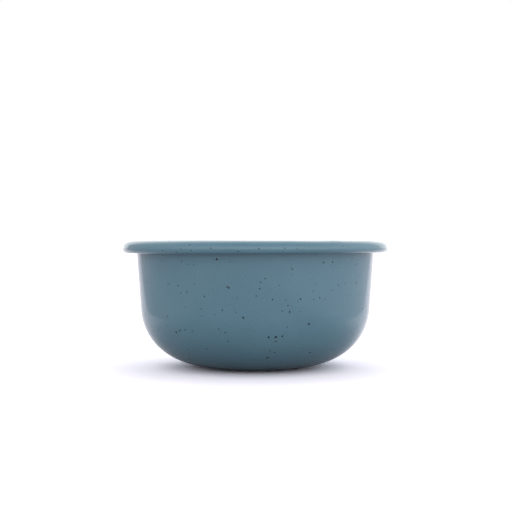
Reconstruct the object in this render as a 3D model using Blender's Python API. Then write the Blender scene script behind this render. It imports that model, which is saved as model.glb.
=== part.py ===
"""Rolled-rim enamelled steel bowl: one deep-drawn steel sheet under four coats of fired enamel.

Every piece is a solid of revolution about the Z axis, which stands on z = 0. One curve drives them
all: the laminate's centre line, from the middle of the base, round the corner, up the wall, over the
crest of the rim and back under it to the sheet's raw edge. Each layer is the band between two offsets
from that curve, so the layers stay parallel and share their facets.
"""
import math

import bmesh
import bpy
from mathutils import Vector

# Outside of the finished bowl, in metres
RIM_RADIUS = 0.0800
HEIGHT = 0.0765
WALL_TOP_RADIUS = 0.0718
WALL_FOOT_RADIUS = 0.0692
CORNER_TOP = 0.0355
BASE_RADIUS = 0.0200
CORNER_REACH_OUT = 0.0310
CORNER_REACH_DOWN = 0.0202

# Underside: a flat standing ring round a slightly raised middle
RING_INNER_RADIUS = 0.0150
PANEL_RADIUS = 0.0115
PANEL_RAISE = 0.0008

# Rolled rim
RIM_WIDEST_HEIGHT = 0.0718
RIM_UNDERSIDE_HEIGHT = 0.0692
CREST_BEND = 0.0018
CREST_REACH_OUT = 0.0052
CREST_REACH_DOWN = 0.0026
UNDER_CORNER = 0.0024
SLOT_UNDER_RIM = 0.0004

# Layers, from the centre of the sheet outwards
SHEET_THICKNESS = 0.0006
GROUND_THICKNESS = 0.0001
COVER_THICKNESS = 0.0002
LAYER_GAP = 0.00005

# Facets
TURN_STEPS = 40
STEP_SAMPLES = 3
CORNER_SAMPLES = 8
BEND_SAMPLES = 3
CREST_SAMPLES = 4
UNDER_SAMPLES = 3
ROUND_HANDLE = 0.5523
WELD = 0.000001

SHEET_HALF = SHEET_THICKNESS / 2
GROUND_INNER = SHEET_HALF + LAYER_GAP
GROUND_OUTER = GROUND_INNER + GROUND_THICKNESS
COVER_INNER = GROUND_OUTER + LAYER_GAP
COVER_OUTER = COVER_INNER + COVER_THICKNESS


def clear_scene():
    for item in list(bpy.data.objects):
        bpy.data.objects.remove(item, do_unlink=True)


def enamel(name, colour, roughness):
    material = bpy.data.materials.new(name)
    material.use_nodes = True
    shader = material.node_tree.nodes["Principled BSDF"]
    shader.inputs["Base Color"].default_value = (*colour, 1.0)
    shader.inputs["Roughness"].default_value = roughness
    shader.inputs["Metallic"].default_value = 0.0
    return material


def sheet_steel(name):
    material = enamel(name, (0.42, 0.43, 0.44), 0.4)
    material.node_tree.nodes["Principled BSDF"].inputs["Metallic"].default_value = 1.0
    return material


def bezier(start, reach_start, reach_end, end, samples):
    """Points and unit tangents along a cubic curve, without its first point."""
    rows = []
    for index in range(1, samples + 1):
        t = index / samples
        s = 1 - t
        point = start * s**3 + reach_start * 3 * s * s * t + reach_end * 3 * s * t * t + end * t**3
        slope = (reach_start - start) * s * s + (reach_end - reach_start) * 2 * s * t
        slope += (end - reach_end) * t * t
        rows.append((point, slope.normalized()))
    return rows


def base_line():
    """The centre panel, its step down and the flat standing ring."""
    outward = Vector((1, 0))
    panel = Vector((PANEL_RADIUS, COVER_OUTER + PANEL_RAISE))
    ring = Vector((RING_INNER_RADIUS, COVER_OUTER))
    reach = outward * (RING_INNER_RADIUS - PANEL_RADIUS) / 2
    rows = [(Vector((0, panel.y)), outward), (panel, outward)]
    rows += bezier(panel, panel + reach, ring - reach, ring, STEP_SAMPLES)
    return rows


def wall_line():
    """The corner, the straight wall and the bend at its top, up to the crest."""
    outward = Vector((1, 0))
    base = Vector((BASE_RADIUS, COVER_OUTER))
    foot = Vector((WALL_FOOT_RADIUS - COVER_OUTER, CORNER_TOP))
    top = Vector((WALL_TOP_RADIUS - COVER_OUTER, RIM_WIDEST_HEIGHT))
    upward = (top - foot).normalized()
    bend_radius = CREST_BEND - COVER_OUTER
    bend_start = top + upward * (HEIGHT - CREST_BEND - top.y)
    crest = Vector((bend_start.x + bend_radius, HEIGHT - COVER_OUTER))
    rows = [(base, outward)]
    reach_out = base + outward * CORNER_REACH_OUT
    reach_down = foot - upward * CORNER_REACH_DOWN
    rows += bezier(base, reach_out, reach_down, foot, CORNER_SAMPLES)
    rows.append((bend_start, upward))
    reach = bend_radius * ROUND_HANDLE
    rows += bezier(bend_start, bend_start + upward * reach, crest - outward * reach, crest, BEND_SAMPLES)
    return rows


def curl_line(crest):
    """The rolled rim, from the crest round the outside and back under to the raw edge."""
    outward = Vector((1, 0))
    downward = Vector((0, -1))
    widest = Vector((RIM_RADIUS - COVER_OUTER, RIM_WIDEST_HEIGHT))
    under_height = RIM_UNDERSIDE_HEIGHT + COVER_OUTER
    under = Vector((RIM_RADIUS - UNDER_CORNER, under_height))
    raw_edge = Vector((WALL_TOP_RADIUS + SLOT_UNDER_RIM + edge_cover(), under_height))
    reach_out = crest + outward * CREST_REACH_OUT
    reach_down = widest - downward * CREST_REACH_DOWN
    rows = bezier(crest, reach_out, reach_down, widest, CREST_SAMPLES)
    turn_down = widest + downward * (widest.y - under.y) * ROUND_HANDLE
    turn_in = under + outward * (widest.x - under.x) * ROUND_HANDLE
    rows += bezier(widest, turn_down, turn_in, under, UNDER_SAMPLES)
    rows.append((raw_edge, -outward))
    return rows


def edge_cover():
    """How far the two coats that close the sheet's raw edge reach past it."""
    return COVER_OUTER - SHEET_HALF


def food_side(tangent):
    """The normal on the side that holds food: inside the bowl, on top of the rim, outside the curl."""
    return Vector((-tangent.y, tangent.x))


def offset(rows, distance):
    return [point + food_side(tangent) * distance for point, tangent in rows]


def band(rows, low, high):
    """Closed outline between two offsets of the centre line."""
    return offset(rows, low) + offset(rows, high)[::-1]


def hooked_band(rows, low, high):
    """A band that also turns across the raw edge and covers the end of the sheet."""
    point, tangent = rows[-1]
    far_face = -food_side(tangent) * SHEET_HALF
    inner_reach = tangent * (low - SHEET_HALF)
    outer_reach = tangent * (high - SHEET_HALF)
    hook = [
        point + food_side(tangent) * low + inner_reach,
        point + far_face + inner_reach,
        point + far_face + outer_reach,
        point + food_side(tangent) * high + outer_reach,
    ]
    return offset(rows[:-1], low) + hook + offset(rows[:-1], high)[::-1]


def turned(name, outline, material):
    """Spin an outline that starts and ends on the axis into one closed solid."""
    mesh = bmesh.new()
    profile = [mesh.verts.new((point.x, 0, point.y)) for point in outline]
    edges = [mesh.edges.new(pair) for pair in zip(profile, profile[1:])]
    bmesh.ops.spin(mesh, geom=profile + edges, cent=(0, 0, 0), axis=(0, 0, 1),
                   angle=math.tau, steps=TURN_STEPS, use_merge=True)
    bmesh.ops.remove_doubles(mesh, verts=mesh.verts, dist=WELD)
    bmesh.ops.recalc_face_normals(mesh, faces=mesh.faces)
    data = bpy.data.meshes.new(name)
    mesh.to_mesh(data)
    mesh.free()
    data.shade_smooth()
    data.set_sharp_from_angle(angle=math.radians(35))
    data.materials.append(material)
    piece = bpy.data.objects.new(name, data)
    bpy.context.scene.collection.objects.link(piece)
    return piece


def build():
    clear_scene()
    body_rows = base_line() + wall_line()
    crest = body_rows[-1][0]
    all_rows = body_rows + curl_line(crest)
    outer_rows = body_rows[:-BEND_SAMPLES]
    teal = enamel("teal_enamel", (0.099, 0.209, 0.280), 0.12)
    ground = enamel("ground_enamel", (0.012, 0.014, 0.022), 0.35)
    steel = sheet_steel("sheet_steel")
    turned("steel_shell", band(all_rows, -SHEET_HALF, SHEET_HALF), steel)
    turned("inner_ground_coat", hooked_band(all_rows, GROUND_INNER, GROUND_OUTER), ground)
    turned("inner_cover_coat", hooked_band(all_rows, COVER_INNER, COVER_OUTER), teal)
    turned("outer_ground_coat", band(outer_rows, -GROUND_OUTER, -GROUND_INNER), ground)
    turned("outer_cover_coat", band(outer_rows, -COVER_OUTER, -COVER_INNER), teal)


build()
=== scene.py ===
"""Looks of the rolled-rim enamelled steel bowl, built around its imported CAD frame.

The frame's five layers are facets. Here each one is replaced by the same layer turned finely, from the
same centre line: the laminate's middle, from the centre of the base, round the corner, up the wall,
over the rim's crest and back under it to the sheet's raw edge. The enamel flecks are small closed
lenses fused into the top coats. Lengths are in metres and angles in degrees, unless a comment says so.
"""
import math
import random

import bmesh
import bpy
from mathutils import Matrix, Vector


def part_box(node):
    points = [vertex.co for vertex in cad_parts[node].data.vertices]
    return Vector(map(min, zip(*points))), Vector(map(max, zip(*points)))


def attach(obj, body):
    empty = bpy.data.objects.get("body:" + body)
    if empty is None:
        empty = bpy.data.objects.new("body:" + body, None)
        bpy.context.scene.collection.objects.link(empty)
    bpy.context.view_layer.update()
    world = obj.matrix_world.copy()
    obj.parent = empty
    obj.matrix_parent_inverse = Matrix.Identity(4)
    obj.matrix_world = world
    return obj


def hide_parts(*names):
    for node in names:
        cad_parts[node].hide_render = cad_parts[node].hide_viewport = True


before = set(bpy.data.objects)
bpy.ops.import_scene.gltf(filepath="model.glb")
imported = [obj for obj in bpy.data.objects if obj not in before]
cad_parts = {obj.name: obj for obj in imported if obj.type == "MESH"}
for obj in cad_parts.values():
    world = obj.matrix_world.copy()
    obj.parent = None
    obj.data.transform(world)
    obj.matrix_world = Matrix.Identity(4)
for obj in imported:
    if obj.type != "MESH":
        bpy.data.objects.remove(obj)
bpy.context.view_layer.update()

# Outside of the finished bowl
RIM_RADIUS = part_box("inner_cover_coat")[1].x
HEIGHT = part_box("inner_cover_coat")[1].z
WALL_TOP_RADIUS = 0.0718
WALL_FOOT_RADIUS = 0.0692
CORNER_TOP = 0.0355
BASE_RADIUS = 0.0200
CORNER_REACH_OUT = 0.0310
CORNER_REACH_DOWN = 0.0202
RING_INNER_RADIUS = 0.0150
PANEL_RADIUS = 0.0115
PANEL_RAISE = 0.0008
RIM_WIDEST_HEIGHT = 0.0718
RIM_UNDERSIDE_HEIGHT = 0.0692
CREST_BEND = 0.0018
CREST_REACH_OUT = 0.0052
CREST_REACH_DOWN = 0.0026
UNDER_CORNER = 0.0024
SLOT_UNDER_RIM = 0.0004

# Layers, as distances from the middle of the sheet
SHEET_HALF = 0.0003
GROUND_INNER = 0.00035
GROUND_OUTER = 0.00045
COVER_INNER = 0.00050
COVER_OUTER = 0.00070
GROUND_EDGE_ROUND = 0.00004
COVER_EDGE_ROUND = 0.00018

# Mesh fineness: steps round the axis, and samples along each stretch of the centre line
COAT_TURNS = 256
CORE_TURNS = 128
PANEL_SAMPLES = 4
STEP_SAMPLES = 8
RING_SAMPLES = 3
CORNER_SAMPLES = 36
WALL_SAMPLES = 16
BEND_SAMPLES = 8
CREST_SAMPLES = 20
UNDER_SAMPLES = 10
RETURN_SAMPLES = 8
EDGE_SAMPLES = 4

# How far a cubic curve's handles reach for a quarter round, in radii; the radius below which a point is
# on the axis; and the angles above which edges are shaded sharp
ROUND_HANDLE = 0.5523
ON_AXIS = 1e-7
BODY_SHARP_FROM = 50.0
FLECK_SHARP_FROM = 60.0

# Unevenness of the fired bowl. Waves: the number round the bowl, size, and phase in radians; the shifts
# turn them, in radians too, and each sets in from a height. Then a small bump in the rim, how far the
# rim rises to the right, and how far its underside rises beyond that
WAVE_ORDERS = ((2, 0.9, 3.5), (3, 0.6, 2.1), (5, 0.45, 4.0), (9, 0.25, 1.2), (17, 0.16, 5.3))
RIM_WAVE = 0.00006
RIM_WAVE_FROM = 0.058876
RIM_WIDTH_SHIFT = 0.7
WALL_WAVE = 0.00005
WALL_WAVE_FROM = CORNER_TOP * 0.4
WALL_WIDTH_SHIFT = 1.9
RIM_BUMP_AZIMUTH = -54.0
RIM_BUMP_WIDTH = 3.5
RIM_BUMP_LIFT = 0.00014
RIM_SLANT = -0.0001
UNDERSIDE_SLANT = 0.0003

OUTWARD = Vector((1, 0))
DOWNWARD = Vector((0, -1))


# ---- the centre line ----

def bezier(start, reach_start, reach_end, end, samples):
    """Points and unit tangents along a cubic curve, without its first point."""
    rows = []
    for index in range(1, samples + 1):
        t = index / samples
        s = 1 - t
        point = start * s**3 + reach_start * 3 * s * s * t + reach_end * 3 * s * t * t + end * t**3
        slope = (reach_start - start) * s * s + (reach_end - reach_start) * 2 * s * t
        slope += (end - reach_end) * t * t
        rows.append((point, slope.normalized()))
    return rows


def straight(start, end, samples):
    """Points and unit tangents along a straight stretch, without its first point."""
    tangent = (end - start).normalized()
    return [(start.lerp(end, index / samples), tangent) for index in range(1, samples + 1)]


def base_line():
    """The centre panel, its step down and the flat standing ring."""
    middle = Vector((0, COVER_OUTER + PANEL_RAISE))
    panel = Vector((PANEL_RADIUS, middle.y))
    ring = Vector((RING_INNER_RADIUS, COVER_OUTER))
    base = Vector((BASE_RADIUS, COVER_OUTER))
    reach = OUTWARD * (RING_INNER_RADIUS - PANEL_RADIUS) / 2
    rows = [(middle, OUTWARD)] + straight(middle, panel, PANEL_SAMPLES)
    rows += bezier(panel, panel + reach, ring - reach, ring, STEP_SAMPLES)
    return rows + straight(ring, base, RING_SAMPLES)


def wall_line():
    """The corner with the straight wall, and the bend at the wall's top up to the crest."""
    base = Vector((BASE_RADIUS, COVER_OUTER))
    foot = Vector((WALL_FOOT_RADIUS - COVER_OUTER, CORNER_TOP))
    top = Vector((WALL_TOP_RADIUS - COVER_OUTER, RIM_WIDEST_HEIGHT))
    upward = (top - foot).normalized()
    bend_radius = CREST_BEND - COVER_OUTER
    bend_start = top + upward * (HEIGHT - CREST_BEND - top.y)
    crest = Vector((bend_start.x + bend_radius, HEIGHT - COVER_OUTER))
    reach_out = base + OUTWARD * CORNER_REACH_OUT
    reach_down = foot - upward * CORNER_REACH_DOWN
    wall = bezier(base, reach_out, reach_down, foot, CORNER_SAMPLES)
    wall += straight(foot, bend_start, WALL_SAMPLES)
    reach = bend_radius * ROUND_HANDLE
    bend_end = crest - OUTWARD * reach
    return wall, bezier(bend_start, bend_start + upward * reach, bend_end, crest, BEND_SAMPLES)


def curl_line(crest):
    """The rolled rim, from the crest round the outside and back under to the raw edge."""
    widest = Vector((RIM_RADIUS - COVER_OUTER, RIM_WIDEST_HEIGHT))
    under_height = RIM_UNDERSIDE_HEIGHT + COVER_OUTER
    under = Vector((RIM_RADIUS - UNDER_CORNER, under_height))
    raw_edge = Vector((WALL_TOP_RADIUS + SLOT_UNDER_RIM + COVER_OUTER - SHEET_HALF, under_height))
    reach_down = widest - DOWNWARD * CREST_REACH_DOWN
    rows = bezier(crest, crest + OUTWARD * CREST_REACH_OUT, reach_down, widest, CREST_SAMPLES)
    turn_down = widest + DOWNWARD * (widest.y - under.y) * ROUND_HANDLE
    turn_in = under + OUTWARD * (widest.x - under.x) * ROUND_HANDLE
    rows += bezier(widest, turn_down, turn_in, under, UNDER_SAMPLES)
    return rows + straight(under, raw_edge, RETURN_SAMPLES)


WALL_ROWS, BEND_ROWS = wall_line()
OUTER_ROWS = base_line() + WALL_ROWS
INNER_ROWS = OUTER_ROWS + BEND_ROWS
CURL_ROWS = curl_line(INNER_ROWS[-1][0])
ALL_ROWS = INNER_ROWS + CURL_ROWS


def food_side(tangent):
    """The normal on the side that holds food: inside the bowl, on top of the rim, outside the curl."""
    return Vector((-tangent.y, tangent.x))


def offset(rows, distance):
    return [point + food_side(tangent) * distance for point, tangent in rows]


def band(rows, low, high):
    """Closed outline between two offsets of the centre line."""
    return offset(rows, low) + offset(rows, high)[::-1]


def rounded(before, corner, after, radius):
    """A corner of an outline, rounded by a short curve."""
    start = corner + (before - corner).normalized() * radius
    end = corner + (after - corner).normalized() * radius
    reach_start = corner.lerp(start, 1 - ROUND_HANDLE)
    reach_end = corner.lerp(end, 1 - ROUND_HANDLE)
    rows = bezier(start, reach_start, reach_end, end, EDGE_SAMPLES)
    return [start] + [point for point, _ in rows]


def hooked_band(rows, low, high, edge_round):
    """A band that also turns across the raw edge and covers the end of the sheet."""
    point, tangent = rows[-1]
    far_face = -food_side(tangent) * SHEET_HALF
    inner_reach = tangent * (low - SHEET_HALF)
    outer_reach = tangent * (high - SHEET_HALF)
    inner_lip = point + far_face + inner_reach
    outer_lip = point + far_face + outer_reach
    outer_corner = point + food_side(tangent) * high + outer_reach
    high_side = offset(rows[:-1], high)
    hook = [point + food_side(tangent) * low + inner_reach, inner_lip, outer_lip]
    hook += rounded(outer_lip, outer_corner, high_side[-1], edge_round)
    return offset(rows[:-1], low) + hook + high_side[::-1]


# ---- the unevenness of the real thing ----

def ramp(value, low, high):
    t = min(max((value - low) / (high - low), 0.0), 1.0)
    return t * t * (3 - 2 * t)


def wave(angle, shift):
    """A smooth closed wave round the bowl, in the range of about one either way."""
    return sum(size * math.sin(order * angle + phase + shift * order) for order, size, phase in WAVE_ORDERS)


def uneven(radius, height, angle):
    """A place on the turned shape, moved as the fired sheet's slight unevenness moves it."""
    rim = ramp(height, RIM_WAVE_FROM, RIM_WIDEST_HEIGHT)
    wall = ramp(height, WALL_WAVE_FROM, CORNER_TOP)
    away = (math.degrees(angle) - RIM_BUMP_AZIMUTH) / RIM_BUMP_WIDTH
    bump = RIM_BUMP_LIFT * math.exp(-away * away)
    radius += rim * RIM_WAVE * wave(angle, RIM_WIDTH_SHIFT)
    radius += wall * (1 - rim) * WALL_WAVE * wave(angle, WALL_WIDTH_SHIFT)
    under = ramp(radius, WALL_TOP_RADIUS, WALL_TOP_RADIUS + SLOT_UNDER_RIM)
    under *= ramp(RIM_WIDEST_HEIGHT - height, 0.0, RIM_WIDEST_HEIGHT - RIM_UNDERSIDE_HEIGHT)
    slant = (rim * RIM_SLANT + under * UNDERSIDE_SLANT) * math.cos(angle)
    height += rim * (RIM_WAVE * wave(angle, 0.0) + bump) + slant
    return Vector((radius * math.cos(angle), radius * math.sin(angle), height))


# ---- turned pieces ----

def turned(name, outline, turns, material):
    """Turn an outline that starts and ends on the axis into one closed, slightly uneven solid."""
    rows = []
    mesh = bmesh.new()
    for point in outline:
        count = turns if point.x > ON_AXIS else 1
        angles = [math.tau * step / turns - math.pi for step in range(count)]
        rows.append([mesh.verts.new(uneven(point.x, point.y, angle)) for angle in angles])
    for near, far in zip(rows, rows[1:]):
        for step in range(turns):
            corners = [near[step % len(near)], near[(step + 1) % len(near)]]
            corners += [far[(step + 1) % len(far)], far[step % len(far)]]
            mesh.faces.new(list(dict.fromkeys(corners)))
    bmesh.ops.recalc_face_normals(mesh, faces=mesh.faces)
    return finished(name, mesh, material, BODY_SHARP_FROM)


def finished(name, mesh, material, sharp_from):
    """An object from a finished mesh, shaded smooth but for edges sharper than an angle."""
    data = bpy.data.meshes.new(name)
    mesh.to_mesh(data)
    mesh.free()
    data.shade_smooth()
    data.set_sharp_from_angle(angle=math.radians(sharp_from))
    data.materials.append(material)
    piece = bpy.data.objects.new(name, data)
    bpy.context.scene.collection.objects.link(piece)
    return piece


# ---- materials ----

# The part of a noise's range that most of its values lie in
NOISE_MIDDLE = (0.3, 0.7)

# Enamels: colours, noise scales per metre, and roughness from the smoothest to the dullest places
ENAMEL_IOR = 1.52
TEAL_LOW = (0.100, 0.207, 0.269, 1)
TEAL_HIGH = (0.106, 0.217, 0.281, 1)
TEAL_ROUGHNESS = (0.07, 0.11)
TEAL_ROUGHNESS_SCALE = 90.0
CLOUD_SCALE = 38.0
CLOUD_SPAN = (0.32, 0.68)
GRAIN_SCALE = 1400.0
GRAIN_SPAN = (0.35, 0.65)
GRAIN_COLOUR = (0.0, 0.02, 0.04, 1)
GRAIN_STRENGTH = 0.06
SPECK_SCALE = 620.0
SPECK_LOTS = (0.82, 0.9)
SPECK_EDGE = (0.10, 0.24)
SPECK_COLOUR = (0.02, 0.05, 0.07, 1)
SPECK_STRENGTH = 0.35
PEEL_SCALE = 420.0
PEEL_SHARE = 0.22
SWELL_SCALE = 60.0
SHADE_SCALE = 300.0
DULL_SCALE = 900.0
GROUND_LOW = (0.010, 0.012, 0.020, 1)
GROUND_HIGH = (0.020, 0.022, 0.034, 1)
GROUND_ROUGHNESS = (0.22, 0.34)
FLECK_LOW = (0.004, 0.010, 0.016, 1)
FLECK_HIGH = (0.010, 0.024, 0.034, 1)
FLECK_ROUGHNESS = (0.10, 0.22)

# Sheet steel: streaks, drawn out along the bowl's height
STREAK_SCALE = 2600.0
STREAK_STRETCH = (1.0, 1.0, 0.08)
STEEL_LOW = (0.33, 0.34, 0.35, 1)
STEEL_HIGH = (0.47, 0.47, 0.48, 1)
STEEL_ROUGHNESS = (0.32, 0.48)


class Nodes:
    """A short way to add and link shader nodes in one tree."""

    def __init__(self, tree):
        self.tree = tree
        tree.nodes.clear()

    def add(self, kind, values=None, **settings):
        node = self.tree.nodes.new(kind)
        for key, value in settings.items():
            setattr(node, key, value)
        for key, value in (values or {}).items():
            if isinstance(value, bpy.types.NodeSocket):
                self.tree.links.new(value, node.inputs[key])
            else:
                node.inputs[key].default_value = value
        return node

    def math(self, operation, first, second=0.0, third=0.0):
        return self.add("ShaderNodeMath", {0: first, 1: second, 2: third}, operation=operation).outputs[0]

    def noise(self, place, scale, detail=2.0, roughness=0.5):
        values = {"Vector": place, "Scale": scale, "Detail": detail, "Roughness": roughness}
        return self.add("ShaderNodeTexNoise", values).outputs["Fac"]

    def span(self, value, low, high, to_low=0.0, to_high=1.0):
        values = {"Value": value, "From Min": low, "From Max": high, "To Min": to_low, "To Max": to_high}
        return self.add("ShaderNodeMapRange", values, interpolation_type="SMOOTHSTEP").outputs["Result"]

    def mix(self, factor, first, second, blend="MIX"):
        values = {0: factor, 6: first, 7: second}
        return self.add("ShaderNodeMix", values, data_type="RGBA", blend_type=blend).outputs[2]


def material_nodes(name):
    material = bpy.data.materials.new(name)
    material.use_nodes = True
    nodes = Nodes(material.node_tree)
    place = nodes.add("ShaderNodeTexCoord").outputs["Object"]
    return material, nodes, place


def close_material(nodes, shader):
    nodes.add("ShaderNodeOutputMaterial", {"Surface": shader.outputs[0]})


def teal_enamel():
    """Glossy opaque enamel: faint clouding, a fine grain of pinhead specks and a slight orange peel."""
    material, nodes, place = material_nodes("teal_enamel")
    clouds = nodes.span(nodes.noise(place, CLOUD_SCALE, 3.0), *CLOUD_SPAN)
    grain = nodes.span(nodes.noise(place, GRAIN_SCALE, 2.0), *GRAIN_SPAN)
    colour = nodes.mix(clouds, TEAL_LOW, TEAL_HIGH)
    colour = nodes.mix(grain, colour, nodes.mix(GRAIN_STRENGTH, colour, GRAIN_COLOUR))
    cells = {"Vector": place, "Scale": SPECK_SCALE, "Randomness": 1.0}
    spots = nodes.add("ShaderNodeTexVoronoi", cells, feature="F1")
    lot = nodes.add("ShaderNodeSeparateColor", {0: spots.outputs["Color"]}).outputs[0]
    sparse = nodes.span(lot, *SPECK_LOTS)
    inside = nodes.span(spots.outputs["Distance"], *SPECK_EDGE, 1.0, 0.0)
    speck = nodes.math("MULTIPLY", inside, sparse)
    colour = nodes.mix(nodes.math("MULTIPLY", speck, SPECK_STRENGTH), colour, SPECK_COLOUR)
    unevenness = nodes.noise(place, TEAL_ROUGHNESS_SCALE, 4.0)
    rough = nodes.span(unevenness, *NOISE_MIDDLE, *TEAL_ROUGHNESS)
    peel = nodes.noise(place, PEEL_SCALE, 2.0)
    swell = nodes.noise(place, SWELL_SCALE, 1.0)
    relief = nodes.math("MULTIPLY_ADD", peel, PEEL_SHARE, swell)
    bump = nodes.add("ShaderNodeBump", {"Strength": 0.10, "Distance": 0.0008, "Height": relief})
    values = {"Base Color": colour, "Roughness": rough, "Normal": bump.outputs[0], "IOR": ENAMEL_IOR}
    close_material(nodes, nodes.add("ShaderNodeBsdfPrincipled", values))
    return material


def dark_enamel(name, darker, lighter, roughness):
    """Fused dark enamel, a little different from place to place."""
    material, nodes, place = material_nodes(name)
    shade = nodes.span(nodes.noise(place, SHADE_SCALE, 3.0), *NOISE_MIDDLE)
    colour = nodes.mix(shade, darker, lighter)
    rough = nodes.span(nodes.noise(place, DULL_SCALE, 2.0), *NOISE_MIDDLE, *roughness)
    values = {"Base Color": colour, "Roughness": rough, "IOR": ENAMEL_IOR}
    close_material(nodes, nodes.add("ShaderNodeBsdfPrincipled", values))
    return material


def sheet_steel():
    """Bare drawn sheet, with the fine streaks that drawing leaves."""
    material, nodes, place = material_nodes("sheet_steel")
    stretched = nodes.add("ShaderNodeMapping", {"Vector": place, "Scale": STREAK_STRETCH}).outputs[0]
    streaks = nodes.noise(stretched, STREAK_SCALE, 3.0)
    colour = nodes.mix(streaks, STEEL_LOW, STEEL_HIGH)
    rough = nodes.span(streaks, *NOISE_MIDDLE, *STEEL_ROUGHNESS)
    values = {"Base Color": colour, "Roughness": rough, "Metallic": 1.0}
    close_material(nodes, nodes.add("ShaderNodeBsdfPrincipled", values))
    return material


# ---- flecks ----

class Skin:
    """The finished surface on one side of the laminate, by distance along the centre line."""

    def __init__(self, rows, side):
        self.rows = rows
        self.points = offset(rows, side * COVER_OUTER)
        self.side = side
        self.reach = [0.0]
        for near, far in zip(self.points, self.points[1:]):
            self.reach.append(self.reach[-1] + (far - near).length)

    def section(self, distance):
        distance = min(max(distance, 0.0), self.reach[-1])
        index = next(i for i, reach in enumerate(self.reach[1:]) if reach >= distance)
        part = (distance - self.reach[index]) / (self.reach[index + 1] - self.reach[index])
        point = self.points[index].lerp(self.points[index + 1], part)
        normal = food_side(self.rows[index][1].lerp(self.rows[index + 1][1], part)) * self.side
        return point, normal.normalized()

    def distance_at(self, height, beyond):
        """Distance of the first place, beyond another, where the skin passes through a height."""
        for index in range(1, len(self.points)):
            near, far = self.points[index - 1], self.points[index]
            if self.reach[index] > beyond and min(near.y, far.y) <= height <= max(near.y, far.y):
                part = (height - near.y) / (far.y - near.y)
                return self.reach[index - 1] + part * (self.reach[index] - self.reach[index - 1])
        return self.reach[-1]

    def seen_from_front(self, side, height, beyond):
        """Distance and angle of a place that lies so far to the right and so high, seen from the front."""
        distance = self.distance_at(height, beyond)
        radius = self.section(distance)[0].x
        return distance, math.asin(side / radius) - math.pi / 2

    def place(self, distance, angle, lift):
        point, normal = self.section(distance)
        point = point + normal * lift
        return uneven(point.x, point.y, angle)


# The lens that every fleck is: ragged outline, shoulder, dome and root, and the longest that the two
# kinds are drawn out
FLECK_SIDES = 11
FLECK_RAGGED = 0.22
FLECK_DOME = 0.00003
FULL_DOME_FROM = 0.0004
SHOULDER_REACH = 0.72
SHOULDER_LIFT = 0.8
FLECK_ROOT = 0.00007
NEAR_AXIS = 0.001
CHOSEN_STRETCH = 1.25
RANDOM_STRETCH = 1.3

# Random flecks: diameters and their spread, the gap that bold ones leave at the front, and for each skin
# the number of small ones, the number of bold ones and the seed
SMALL_SIZE = 0.00052
SMALL_SPREAD = 0.28
BOLD_SIZE = 0.00075
BOLD_SPREAD = 0.30
FLECK_LARGEST = 0.0014
FRONT_GAP = 110.0
OUTSIDE_COUNTS = (310, 70, 7)
INSIDE_COUNTS = (260, 110, 11)
RIM_COUNTS = (70, 14, 9)

# Where flecks start and stop along the skins
FOOT_HEIGHT = 0.0005
CLEAR_OF_SLOT = 0.005
CLEAR_OF_MIDDLE = 0.002
CLEAR_OF_CREST = 0.003
RIM_REACH = 0.016

# The flecks that stand out on the front, in millimetres: to the right of the middle, height, diameter
MM_PER_METRE = 1000
BOLD_FLECKS = (
    (-21.0, 66.2, 1.5), (11.5, 23.2, 1.5), (7.0, 11.2, 1.3), (-14.5, 50.7, 1.1), (-15.5, 51.2, 0.8),
    (7.5, 23.2, 1.2), (15.0, 23.7, 1.2), (-6.5, 34.2, 1.2), (30.0, 30.2, 1.2), (31.0, 13.2, 1.0),
    (-28.0, 45.7, 0.9), (9.5, 44.2, 1.0), (25.0, 44.2, 1.0), (36.0, 44.7, 0.9), (17.0, 43.7, 0.6),
    (32.5, 43.7, 0.7), (19.0, 37.2, 1.0), (20.5, 60.7, 0.8), (5.5, 55.7, 0.8), (3.0, 53.7, 0.7),
    (2.5, 50.2, 0.9), (-44.5, 24.7, 1.2), (-42.0, 26.2, 0.8), (-43.0, 51.2, 0.8), (-49.0, 52.2, 0.9),
    (-41.5, 47.2, 0.7), (-38.0, 47.7, 0.9), (-30.0, 38.7, 0.7), (-29.5, 34.7, 0.7), (-18.0, 38.2, 0.8),
    (-20.0, 27.7, 0.8), (-16.5, 25.7, 0.8), (-15.0, 20.7, 0.9), (11.5, 20.7, 0.9), (8.5, 15.2, 0.8),
    (-35.0, 26.2, 0.7), (38.0, 64.2, 0.9), (-10.5, 37.2, 0.6),
)
BOLD_RIM_FLECKS = (
    (-51.5, 71.0, 0.8), (-35.0, 70.9, 0.7), (-24.0, 72.2, 0.8), (-9.0, 70.6, 0.8), (2.0, 72.1, 0.8),
    (16.0, 72.3, 0.7),
)


def add_fleck(mesh, skin, distance, angle, size, stretch, turn, draw):
    """One closed lens with a ragged outline, bedded in the skin. Size is its mean radius."""
    radius = max(skin.section(distance)[0].x, NEAR_AXIS)
    outline = []
    for side in range(FLECK_SIDES):
        bearing = math.tau * side / FLECK_SIDES
        reach = size * (1 + draw.uniform(-FLECK_RAGGED, FLECK_RAGGED))
        along = reach * math.cos(bearing) * stretch
        across = reach * math.sin(bearing) / stretch
        u = along * math.cos(turn) - across * math.sin(turn)
        v = along * math.sin(turn) + across * math.cos(turn)
        outline.append((u, v))

    def vertex(u, v, lift):
        return mesh.verts.new(skin.place(distance + v, angle + u / radius, lift))

    dome = FLECK_DOME * min(1.0, size / FULL_DOME_FROM)
    rim = [vertex(u, v, 0.0) for u, v in outline]
    lift = dome * SHOULDER_LIFT
    shoulder = [vertex(u * SHOULDER_REACH, v * SHOULDER_REACH, lift) for u, v in outline]
    top = vertex(0, 0, dome)
    root = vertex(0, 0, -FLECK_ROOT)
    for side in range(FLECK_SIDES):
        after = (side + 1) % FLECK_SIDES
        mesh.faces.new((top, shoulder[side], shoulder[after]))
        mesh.faces.new((shoulder[side], rim[side], rim[after], shoulder[after]))
        mesh.faces.new((root, rim[after], rim[side]))


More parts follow.
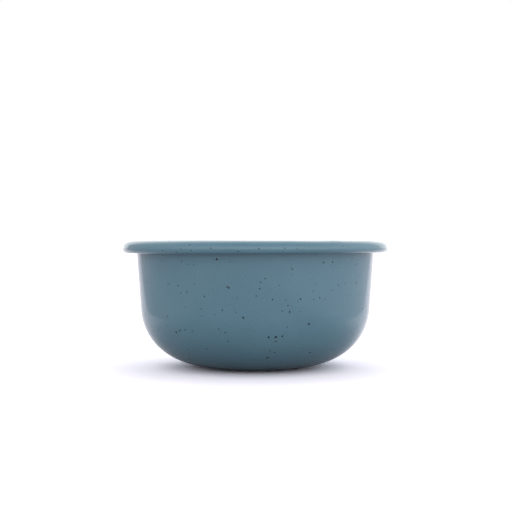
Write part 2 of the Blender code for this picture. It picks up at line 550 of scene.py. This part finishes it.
def scatter(mesh, skin, low, high, count, size, spread, front_gap, draw):
    """Random flecks, even over the area between two distances, with a gap at the front in degrees."""
    placed = 0
    widest = max(point.x for point in skin.points)
    turn_room = math.pi - math.radians(front_gap) / 2
    while placed < count:
        distance = draw.uniform(low, high)
        if draw.random() * widest > skin.section(distance)[0].x:
            continue
        radius = min(size * math.exp(draw.gauss(0.0, spread)), FLECK_LARGEST) / 2
        angle = math.pi / 2 + draw.uniform(-turn_room, turn_room)
        stretch = draw.uniform(1.0, RANDOM_STRETCH)
        turn = draw.uniform(0, math.pi)
        add_fleck(mesh, skin, distance, angle, radius, stretch, turn, draw)
        placed += 1


def flecks(name, skin, low, high, counts, material, chosen=()):
    """All the flecks of one skin: small and bold ones at random, with the chosen ones at the front."""
    small, bold, seed = counts
    draw = random.Random(seed)
    mesh = bmesh.new()
    for side, height, size in chosen:
        distance, angle = skin.seen_from_front(side / MM_PER_METRE, height / MM_PER_METRE, low)
        radius = size / (2 * MM_PER_METRE)
        stretch = draw.uniform(1.0, CHOSEN_STRETCH)
        turn = draw.uniform(0, math.pi)
        add_fleck(mesh, skin, distance, angle, radius, stretch, turn, draw)
    front_gap = FRONT_GAP if chosen else 0.0
    scatter(mesh, skin, low, high, bold, BOLD_SIZE, BOLD_SPREAD, front_gap, draw)
    scatter(mesh, skin, low, high, small, SMALL_SIZE, SMALL_SPREAD, 0.0, draw)
    bmesh.ops.recalc_face_normals(mesh, faces=mesh.faces)
    return finished(name, mesh, material, FLECK_SHARP_FROM)


# ---- the bowl ----

def join_frame(piece, node=None):
    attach(piece, "root")
    if node:
        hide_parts(node)


def make_layers():
    teal = teal_enamel()
    ground = dark_enamel("ground_enamel", GROUND_LOW, GROUND_HIGH, GROUND_ROUGHNESS)
    outer_body = OUTER_ROWS + BEND_ROWS[:1]
    outline = band(ALL_ROWS, -SHEET_HALF, SHEET_HALF)
    layer = turned("pressed_sheet", outline, CORE_TURNS, sheet_steel())
    join_frame(layer, "steel_shell")
    outline = hooked_band(ALL_ROWS, GROUND_INNER, GROUND_OUTER, GROUND_EDGE_ROUND)
    layer = turned("bonding_coat_inside", outline, CORE_TURNS, ground)
    join_frame(layer, "inner_ground_coat")
    outline = band(outer_body, -GROUND_OUTER, -GROUND_INNER)
    layer = turned("bonding_coat_outside", outline, CORE_TURNS, ground)
    join_frame(layer, "outer_ground_coat")
    outline = hooked_band(ALL_ROWS, COVER_INNER, COVER_OUTER, COVER_EDGE_ROUND)
    layer = turned("enamel_inside_and_rim", outline, COAT_TURNS, teal)
    join_frame(layer, "inner_cover_coat")
    outline = band(outer_body, -COVER_OUTER, -COVER_INNER)
    layer = turned("enamel_outside", outline, COAT_TURNS, teal)
    join_frame(layer, "outer_cover_coat")


def make_flecks():
    spot = dark_enamel("fleck_enamel", FLECK_LOW, FLECK_HIGH, FLECK_ROUGHNESS)
    outside = Skin(OUTER_ROWS, -1)
    inside = Skin(ALL_ROWS, 1)
    foot = outside.distance_at(FOOT_HEIGHT, BASE_RADIUS)
    top = outside.reach[-1] - CLEAR_OF_SLOT
    layer = flecks("flecks_outside", outside, foot, top, OUTSIDE_COUNTS, spot, BOLD_FLECKS)
    join_frame(layer)
    crest = Skin(INNER_ROWS, 1).reach[-1]
    top = crest - CLEAR_OF_CREST
    layer = flecks("flecks_inside", inside, CLEAR_OF_MIDDLE, top, INSIDE_COUNTS, spot)
    join_frame(layer)
    end = crest + RIM_REACH
    layer = flecks("flecks_rim", inside, crest, end, RIM_COUNTS, spot, BOLD_RIM_FLECKS)
    join_frame(layer)


# ---- studio ----

CAMERA_LENS = 80.0
CAMERA_DISTANCE = 0.6916
CAMERA_HEIGHT = 0.0766
AIM_HEIGHT = 0.06705
AIM_SIDE = 0.0005
SENSOR_WIDTH = 36.0
CLIP_NEAR = 0.01
CLIP_FAR = 50.0

# The sky as light and in reflections, in units of the white that the camera sees: a backdrop between two
# azimuths left and right of the back, the rest of the horizon, and overhead
BACKDROP_LEFT = 39.0
BACKDROP_RIGHT = 44.5
BACKDROP_EDGE = 3.0
BACKDROP_LEVEL = 1.5
HORIZON_LEVEL = 1.28
HORIZON_TO_FRONT = -0.62
HORIZON_TO_RIGHT = 0.26
OVERHEAD_LEVEL = 0.87
OVERHEAD_TO_BACK = 0.80
OVERHEAD_FROM = 0.2

# The floor gives back one share of its light to the camera and a smaller one as light for the bowl and
# in reflections: least in a dim round before the bowl, most in a wedge that opens to the back
FLOOR_HALF = 6.0
FLOOR_TINT = (1.0, 0.962, 1.028, 1)
FLOOR_SEEN = 1.30
FLOOR_GRAIN = 0.01
FLOOR_GRAIN_SCALE = 3.0
FLOOR_FULL = 0.72
FLOOR_TO_RIGHT = 0.13
FLOOR_DIM = 0.42
DIM_CENTRE = (0.0, -0.17, 0.0)
DIM_INNER = 0.12
DIM_OUTER = 0.27
WEDGE_APEX = (0.0, -0.30, 0.0)
WEDGE_ANGLE = 29.5
WEDGE_EDGE = 2.0
WEDGE_LIFT = 0.41


def make_camera():
    data = bpy.data.cameras.new("camera")
    data.lens = CAMERA_LENS
    data.sensor_width = SENSOR_WIDTH
    data.clip_start = CLIP_NEAR
    data.clip_end = CLIP_FAR
    camera = bpy.data.objects.new("camera", data)
    camera.location = (AIM_SIDE, -CAMERA_DISTANCE, CAMERA_HEIGHT)
    aim = Vector((AIM_SIDE, 0, AIM_HEIGHT)) - camera.location
    camera.rotation_euler = aim.to_track_quat("-Z", "Y").to_euler()
    bpy.context.scene.collection.objects.link(camera)
    bpy.context.scene.camera = camera


def make_floor():
    """White floor. As light and in reflections it is dimmer than the camera sees it."""
    data = bpy.data.meshes.new("studio_floor")
    size = FLOOR_HALF
    corners = [(-size, -size, 0), (size, -size, 0), (size, size, 0), (-size, size, 0)]
    data.from_pydata(corners, [], [(0, 1, 2, 3)])
    floor = bpy.data.objects.new("studio_floor", data)
    bpy.context.scene.collection.objects.link(floor)
    material, nodes, place = material_nodes("studio_white")
    grain = nodes.noise(place, FLOOR_GRAIN_SCALE)
    seen = nodes.span(grain, 0.0, 1.0, FLOOR_SEEN - FLOOR_GRAIN, FLOOR_SEEN + FLOOR_GRAIN)
    dim_centre = {0: place, 1: DIM_CENTRE}
    away = nodes.add("ShaderNodeVectorMath", dim_centre, operation="DISTANCE").outputs["Value"]
    bearing = nodes.add("ShaderNodeVectorMath", {0: place}, operation="NORMALIZE").outputs["Vector"]
    x = nodes.add("ShaderNodeSeparateXYZ", {0: bearing}).outputs[0]
    apex = {0: place, 1: WEDGE_APEX}
    from_apex = nodes.add("ShaderNodeVectorMath", apex, operation="SUBTRACT").outputs["Vector"]
    across, along, _ = nodes.add("ShaderNodeSeparateXYZ", {0: from_apex}).outputs
    aside = nodes.math("ABSOLUTE", nodes.math("ARCTAN2", across, along))
    edge_start = math.radians(WEDGE_ANGLE - WEDGE_EDGE)
    edge_end = math.radians(WEDGE_ANGLE + WEDGE_EDGE)
    wedge = nodes.span(aside, edge_start, edge_end, 1.0, 0.0)
    full = nodes.math("MULTIPLY_ADD", x, FLOOR_TO_RIGHT, FLOOR_FULL)
    full = nodes.math("MULTIPLY_ADD", wedge, WEDGE_LIFT, full)
    past = nodes.span(away, DIM_INNER, DIM_OUTER)
    bounced = nodes.math("MULTIPLY_ADD", past, nodes.math("SUBTRACT", full, FLOOR_DIM), FLOOR_DIM)
    is_camera = nodes.add("ShaderNodeLightPath").outputs["Is Camera Ray"]
    given = nodes.math("MULTIPLY_ADD", is_camera, nodes.math("SUBTRACT", seen, bounced), bounced)
    colour = nodes.mix(1.0, given, FLOOR_TINT, "MULTIPLY")
    close_material(nodes, nodes.add("ShaderNodeBsdfDiffuse", {"Color": colour, "Roughness": 0.0}))
    data.materials.append(material)


def make_world():
    """White to the camera. As light and in reflections: a backdrop, dimmer sides, soft front light."""
    world = bpy.data.worlds.new("studio")
    bpy.context.scene.world = world
    world.use_nodes = True
    nodes = Nodes(world.node_tree)
    direction = nodes.add("ShaderNodeTexCoord").outputs["Generated"]
    x, y, z = nodes.add("ShaderNodeSeparateXYZ", {0: direction}).outputs
    azimuth = nodes.math("ARCTAN2", x, y)
    edge_start = -math.radians(BACKDROP_LEFT + BACKDROP_EDGE)
    edge_end = -math.radians(BACKDROP_LEFT - BACKDROP_EDGE)
    left = nodes.span(azimuth, edge_start, edge_end)
    edge_start = math.radians(BACKDROP_RIGHT - BACKDROP_EDGE)
    edge_end = math.radians(BACKDROP_RIGHT + BACKDROP_EDGE)
    right = nodes.span(azimuth, edge_start, edge_end, 1.0, 0.0)
    backdrop = nodes.math("MULTIPLY", nodes.math("MULTIPLY", left, right), BACKDROP_LEVEL)
    horizon = nodes.math("MULTIPLY_ADD", y, HORIZON_TO_FRONT, HORIZON_LEVEL)
    horizon = nodes.math("MULTIPLY_ADD", x, HORIZON_TO_RIGHT, horizon)
    horizon = nodes.math("MAXIMUM", horizon, backdrop)
    overhead = nodes.math("MULTIPLY_ADD", y, OVERHEAD_TO_BACK, OVERHEAD_LEVEL)
    rise = nodes.span(z, OVERHEAD_FROM, 1.0)
    change = nodes.math("MULTIPLY", rise, nodes.math("SUBTRACT", overhead, horizon))
    level = nodes.math("ADD", horizon, change)
    is_camera = nodes.add("ShaderNodeLightPath").outputs["Is Camera Ray"]
    sky = nodes.add("ShaderNodeBackground", {"Color": (1, 1, 1, 1), "Strength": level})
    white = nodes.add("ShaderNodeBackground", {"Color": (1, 1, 1, 1), "Strength": 1.0})
    both = nodes.add("ShaderNodeMixShader", {0: is_camera, 1: sky.outputs[0], 2: white.outputs[0]})
    nodes.add("ShaderNodeOutputWorld", {"Surface": both.outputs[0]})


make_camera()
make_layers()
make_flecks()
make_floor()
make_world()
bpy.context.scene.view_settings.view_transform = "Standard"
